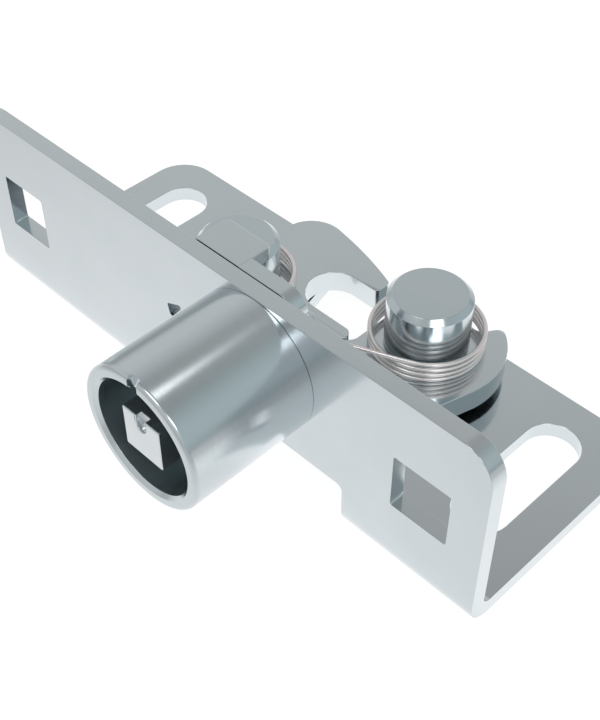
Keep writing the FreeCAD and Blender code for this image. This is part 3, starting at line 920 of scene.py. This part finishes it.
@dataclass
class Claw(Lever):
    """Hook with a throat for the striker and a locking step on its rim.

    `rim_start`, `lock` and `pocket_top` are angles about the pivot, in degrees. The back
    is a corner (x, y, radius), and the heel its place along Y and its radius.
    """

    boss: float = 12.0
    left: float = -19.9
    tip: float = 4.6
    throat: float = 10.6
    throat_middle: float = 32.1
    throat_root: float = -6.15
    nose_end: float = 8.65
    pocket: float = 21.2
    rim: float = 22.6
    rim_start: float = -20.0
    lock: float = -11.3
    pocket_top: float = 2.3
    shoulder_radius: float = 3.5
    nose_front: float = 24.9
    tip_back: float = 40.84
    back: Corner = (-3.0, 43.71, 80.0)
    heel: tuple[float, float] = (46.85, 6.5)

    def outline(self) -> Array:
        """Draws the claw, counter-clockwise from the shoulder over the boss.

        Returns:
            The outline, (x, y) in mm.
        """
        reach = self.boss + self.shoulder_radius
        beside = self.left - self.shoulder_radius - self.pivot[0]
        rise = math.sqrt(reach ** 2 - beside ** 2)
        meet = math.degrees(math.atan2(rise, beside))
        fillet = (self.pivot[0] + beside, self.pivot[1] + rise)
        leave = self.rim_start - math.degrees(math.acos(self.boss / self.rim))
        upper = self.throat_middle + self.throat / 2
        lower = self.throat_middle - self.throat / 2
        return rounded([
            *arc(fillet, self.shoulder_radius, 0, meet - 180, 8),
            *arc(self.pivot, self.boss, meet, leave + 360, 48),
            (*polar(self.pivot, self.rim, self.rim_start), 0.8),
            *arc(self.pivot, self.rim, self.rim_start + 2.5, self.lock - 0.8, 4),
            (*polar(self.pivot, self.rim, self.lock), 0.25),
            (*polar(self.pivot, self.pocket, self.lock + 0.2), 0.4),
            *arc(self.pivot, self.pocket, self.lock + 1.6, self.pocket_top, 8),
            (self.nose_end, self.nose_front, 0.4), (self.nose_end, lower, 1.6),
            (self.throat_root, lower, self.throat / 2 - HAIR),
            (self.throat_root, upper, self.throat / 2 - HAIR),
            (self.tip, upper, 0.85), (self.tip, self.tip_back, 1.0), self.back,
            (self.left, *self.heel)], 10)


@dataclass
class Pawl(Lever):
    """Lever with a rounded lobe, a tooth and a tail to the front.

    `lobe_angle` and `slope` are in degrees. The tail is its left, right and front.
    """

    lobe: float = 13.9
    lobe_corner: Corner = (30.3, 23.3, 3.0)
    boss: float = 8.85
    lobe_angle: float = 57.0
    tooth: tuple[float, float] = (7.5, 22.3)
    slope: float = 54.6
    tail: tuple[float, float, float] = (12.0, 17.0, 5.0)
    elbow: Corner = (17.3, 12.0, 2.0)
    neck_radius: float = 2.0

    def outline(self) -> Array:
        """Draws the pawl, clockwise from the top of the tooth's flank.

        Returns:
            The outline, (x, y) in mm.
        """
        x, y = self.pivot
        tooth_radius = math.hypot(self.tooth[0] - x, self.tooth[1] - y)
        left = x - self.boss
        flank_top = self.tooth[1] + (left - self.tooth[0]) * math.tan(math.radians(self.slope))
        neck = self.boss + self.neck_radius
        lean = math.degrees(math.asin(self.neck_radius / neck))
        fillet = polar(self.pivot, neck, self.lobe_angle + lean)
        corner_x, corner_y = self.lobe_corner[:2]
        far = math.hypot(corner_x - x, corner_y - y)
        to_corner = math.degrees(math.atan2(corner_y - y, corner_x - x))
        touch = to_corner + math.degrees(math.acos(self.lobe / far))
        tail_left, tail_right, front = self.tail
        under = math.degrees(math.atan2(
            -math.sqrt(tooth_radius ** 2 - (tail_left - x) ** 2), tail_left - x))
        at_tooth = math.degrees(math.atan2(self.tooth[1] - y, self.tooth[0] - x))
        return rounded([
            (left, flank_top, 2.2),
            *arc(self.pivot, self.boss, 180, self.lobe_angle + lean, 30),
            *arc(fillet, self.neck_radius, self.lobe_angle + lean - 180,
                 self.lobe_angle - 90, 8),
            (*polar(self.pivot, self.lobe, self.lobe_angle), 1.3),
            *arc(self.pivot, self.lobe, self.lobe_angle - 8, touch, 40),
            self.lobe_corner, self.elbow, (tail_right, front, 1.6), (tail_left, front, 0.8),
            (*polar(self.pivot, tooth_radius, under), 1.5),
            *arc(self.pivot, tooth_radius, under - 6, at_tooth + 1.5, 8),
            (*self.tooth, 0.2)], 8)


@dataclass
class Spring:
    """Coil round a pin, with a long leg to the flange. Sizes in mm."""

    name: str
    pivot: tuple[float, float]
    leg_x: float
    clockwise: bool
    heights: tuple[tuple[float, float], ...]
    tail: float = 0.8
    wire: float = 0.39
    radius: float = 9.8
    sheet: float = 3.0
    points_per_turn: int = 64

    def path(self) -> Array:
        """The wire's middle line.

        The leg is a straight tangent from the flange's back to the coil. On the coil the
        angle changes evenly, and the height runs evenly between the pairs of turn and
        height in `heights`. The tail runs straight off it.

        Returns:
            Points from the leg's end to the tail's.
        """
        way = -1 if self.clockwise else 1
        foot = np.array([self.leg_x, self.sheet + self.wire])
        offset = foot - np.array(self.pivot)
        bearing = math.atan2(offset[1], offset[0])
        touch = bearing + way * math.acos(self.radius / np.hypot(*offset))
        turns, heights = np.array(self.heights).T
        done = np.linspace(0, turns[-1], int(turns[-1] * self.points_per_turn))
        angle = touch + way * done * 2 * np.pi
        coil = np.stack([self.pivot[0] + self.radius * np.cos(angle),
                         self.pivot[1] + self.radius * np.sin(angle),
                         np.interp(done, turns, heights)], 1)
        leg = np.linspace([*foot, heights[0]], coil[0], 24, endpoint=False)
        ahead = way * np.array([-math.sin(angle[-1]), math.cos(angle[-1]), 0.0])
        tail = coil[-1] + np.linspace(0.1, 1, 6)[:, None] * self.tail * ahead
        return np.vstack([leg, coil, tail])

    def build(self, shop: Workshop) -> None:
        """Winds the spring."""
        mesh = wire_mesh(f"{self.name}_coil", self.path(), self.wire)
        shop.fit(link(f"{self.name}_coil", mesh, 60), DRAWN_WIRE, "frame", self.name)


@dataclass(frozen=True)
class SoftBox:
    """Oval lamp: where it stands, seen from the latch, and how bright its face is."""

    name: str
    azimuth: float
    elevation: float
    width: float
    height: float
    radiance: float
    distance: float = 1000.0


@dataclass
class Studio:
    """Floor, world, lamps and camera. Lengths in mm.

    The floor's glow, seen only in the metal, is a painted pool of light: it falls from 1
    to `pool_edge` between the two reaches of the pool, an oval of `pool_shape`, and is
    painted brighter towards the back, rising to `slope_end` between the two places of the
    slope along Y. The tent is pairs of height and level, with `tent_red` of its light in
    red. Its shaded side sets in between the two cosines of `shade_span`.
    """

    eye: tuple[float, float, float] = (110.17, -88.0, 156.07)
    right: tuple[float, float, float] = (0.702379, 0.711757, -0.008086)
    up: tuple[float, float, float] = (-0.504198, 0.505509, 0.700175)
    back: tuple[float, float, float] = (0.502442, -0.487711, 0.713925)
    focal_pixels: float = 1225.95
    image_pixels: tuple[float, float] = (600.0, 720.0)
    middle_pixels: tuple[float, float] = (285.80, 369.77)
    sensor: float = 36.0
    floor_half: float = 6000.0
    floor_drop: float = 0.3
    floor_lift: float = 0.9
    floor_colour: str = "#808080"
    clip: tuple[float, float] = (10.0, 20000.0)
    pool: tuple[float, float] = (20.0, 130.0)
    pool_shape: tuple[float, float, float] = (0.6, 1.0, 1.0)
    pool_edge: float = 0.5
    slope: tuple[float, float] = (-17.0, -6.0)
    slope_end: float = 1.22
    tent: tuple[tuple[float, float], ...] = (
        (0.0, 0.56), (0.09, 0.58), (0.21, 0.70), (0.50, 0.70), (0.60, 0.65),
        (0.70, 0.60), (0.78, 0.50), (0.85, 0.41), (1.0, 0.42))
    tent_red: float = 0.98
    shade_side: tuple[float, float, float] = (0.866, 0.5, 0.0)
    shade_span: tuple[float, float] = (0.38, 0.65)
    shade_colour: tuple[float, float, float, float] = (0.77, 0.86, 0.875, 1.0)
    lamps: tuple[SoftBox, ...] = (
        SoftBox("overhead_box", 2.0, 73.0, 220.0, 220.0, 1.6),
        SoftBox("key_box", 115.0, 45.0, 430.0, 300.0, 3.2),
        SoftBox("front_box", 180.0, 61.0, 420.0, 340.0, 3.0))

    def camera(self) -> None:
        """Stands the camera where the photograph was taken from."""
        data = bpy.data.cameras.new("camera")
        wide, tall = self.image_pixels
        data.sensor_width = self.sensor
        data.lens = self.focal_pixels * self.sensor / tall
        data.shift_x = (wide / 2 - self.middle_pixels[0]) / tall
        data.shift_y = (self.middle_pixels[1] - tall / 2) / tall
        data.clip_start, data.clip_end = self.clip[0] * MM, self.clip[1] * MM
        camera = bpy.data.objects.new("camera", data)
        turn = Matrix([self.right, self.up, self.back]).transposed()
        place = Vector(to_row(np.array(self.eye)).tolist())
        camera.matrix_world = Matrix.Translation(place) @ turn.to_4x4()
        bpy.context.scene.collection.objects.link(camera)
        bpy.context.scene.camera = camera

    def world(self) -> None:
        """White to the camera; else a tent, darker overhead and shaded on one side."""
        world = bpy.data.worlds.new("studio")
        world.use_nodes = True
        tree = world.node_tree
        tree.nodes.clear()
        rays = node(tree, "ShaderNodeLightPath")
        way = node(tree, "ShaderNodeTexCoord").outputs["Generated"]
        split = node(tree, "ShaderNodeSeparateXYZ", inputs={0: way})
        ramp = node(tree, "ShaderNodeValToRGB", inputs={0: split.outputs["Z"]})
        stops = ramp.color_ramp.elements
        while len(stops) < len(self.tent):
            stops.new(0.5)
        for stop, (height, level) in zip(stops, self.tent):
            stop.position, stop.color = height, (self.tent_red * level, level, level, 1.0)
        toward = node(tree, "ShaderNodeVectorMath", {"operation": "DOT_PRODUCT"}, {
            0: way, 1: self.shade_side})
        share = node(tree, "ShaderNodeMapRange", inputs={
            "Value": toward.outputs["Value"], "From Min": self.shade_span[0],
            "From Max": self.shade_span[1], "To Min": 0.0, "To Max": 1.0})
        shaded = node(tree, "ShaderNodeMix", {"data_type": "RGBA", "blend_type": "MULTIPLY"}, {
            0: share.outputs[0], 6: ramp.outputs[0], 7: self.shade_colour})
        white = node(tree, "ShaderNodeMix", {"data_type": "RGBA"}, {
            0: rays.outputs["Is Camera Ray"], 6: shaded.outputs[2], 7: (1.0, 1.0, 1.0, 1.0)})
        sky = node(tree, "ShaderNodeBackground", inputs={"Color": white.outputs[2],
                                                         "Strength": 1.0})
        node(tree, "ShaderNodeOutputWorld", inputs={"Surface": sky.outputs[0]})
        bpy.context.scene.world = world

    def floor(self) -> None:
        """Pale floor that reads white; its glow in the metal is a painted pool of light,
        fading away from the latch and brighter towards the back.
        """
        half, drop = self.floor_half * MM, -self.floor_drop * MM
        mesh = bpy.data.meshes.new("floor")
        mesh.from_pydata([(-half, -half, drop), (half, -half, drop), (half, half, drop),
                          (-half, half, drop)], [], [(0, 1, 2, 3)])
        floor = bpy.data.objects.new("floor", mesh)
        bpy.context.scene.collection.objects.link(floor)
        paint = bpy.data.materials.new("matt_white_studio_floor")
        paint.use_nodes = True
        tree = paint.node_tree
        tree.nodes.clear()
        rays = node(tree, "ShaderNodeLightPath")
        place = node(tree, "ShaderNodeTexCoord").outputs["Object"]
        oval = node(tree, "ShaderNodeMapping", inputs={"Vector": place,
                                                       "Scale": self.pool_shape})
        reach = node(tree, "ShaderNodeVectorMath", {"operation": "LENGTH"},
                     {0: oval.outputs[0]})
        # Painted light: in glossy rays the floor glows as a pool, brightest by the latch, and
        # brighter towards the back along Y
        near, far = self.pool
        pool = node(tree, "ShaderNodeMapRange", inputs={
            "Value": reach.outputs["Value"], "From Min": near * MM, "From Max": far * MM,
            "To Min": 1.0, "To Max": self.pool_edge})
        parts = node(tree, "ShaderNodeSeparateXYZ", inputs={0: place})
        slope = node(tree, "ShaderNodeMapRange", inputs={
            "Value": parts.outputs["Y"], "From Min": self.slope[0] * MM,
            "From Max": self.slope[1] * MM, "To Min": 1.0, "To Max": self.slope_end})
        level = node(tree, "ShaderNodeMath", {"operation": "MULTIPLY"}, {
            0: pool.outputs[0], 1: slope.outputs[0]})
        mirrored = node(tree, "ShaderNodeMath", {"operation": "MAXIMUM"}, {
            0: rays.outputs["Is Glossy Ray"], 1: rays.outputs["Is Transmission Ray"]})
        shown = node(tree, "ShaderNodeMath", {"operation": "MULTIPLY"}, {
            0: mirrored.outputs[0], 1: level.outputs[0]})
        seen = node(tree, "ShaderNodeMath", {"operation": "MAXIMUM"}, {
            0: rays.outputs["Is Camera Ray"], 1: shown.outputs[0]})
        lift = node(tree, "ShaderNodeMath", {"operation": "MULTIPLY"}, {
            0: seen.outputs[0], 1: self.floor_lift})
        shader = node(tree, "ShaderNodeBsdfPrincipled", inputs={
            "Base Color": srgb(self.floor_colour), "Roughness": 0.9, "Specular IOR Level": 0.0,
            "Emission Color": (1.0, 1.0, 1.0, 1.0), "Emission Strength": lift.outputs[0]})
        node(tree, "ShaderNodeOutputMaterial", inputs={"Surface": shader.outputs[0]})
        mesh.materials.append(paint)

    def lights(self) -> None:
        """Oval soft boxes that look at the latch, each set by how bright its face is."""
        for box in self.lamps:
            side, rise = math.radians(box.azimuth), math.radians(box.elevation)
            toward = Vector((math.sin(side) * math.cos(rise), math.cos(side) * math.cos(rise),
                             math.sin(rise)))
            data = bpy.data.lights.new(box.name, "AREA")
            data.shape = "ELLIPSE"
            data.size, data.size_y = box.width * MM, box.height * MM
            data.energy = box.radiance * math.pi * math.pi / 4 * data.size * data.size_y
            lamp = bpy.data.objects.new(box.name, data)
            lamp.location = toward * box.distance * MM
            lamp.rotation_mode = "QUATERNION"
            lamp.rotation_quaternion = (-toward).to_track_quat("-Z", "Y")
            bpy.context.scene.collection.objects.link(lamp)

    def build(self) -> None:
        """Sets up the whole studio."""
        bpy.context.scene.view_settings.view_transform = "Standard"
        self.camera()
        self.world()
        self.floor()
        self.lights()


def main() -> None:
    """Builds the latch, then the studio."""
    logging.basicConfig(level=logging.INFO, format="%(message)s")
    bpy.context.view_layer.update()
    shop = Workshop()
    claw = Claw("claw", "claw", (-14.3, 21.55))
    pawl = Pawl("pawl", "pawl", (18.9, 34.2))
    assemblies = [Bracket(), KeyUnit(), ReleasePlate(), claw, pawl,
                  Spring("claw_spring", claw.pivot, -7.0, True, ((0.0, 9.78), (3.06, 13.2))),
                  Spring("pawl_spring", pawl.pivot, -28.2, False,
                         ((0.0, 13.2), (3.0, 9.78), (3.45, 9.78), (3.75, 9.0)))]
    for assembly in assemblies:
        assembly.build(shop)
    Studio().build()


if __name__ == "__main__":
    main()
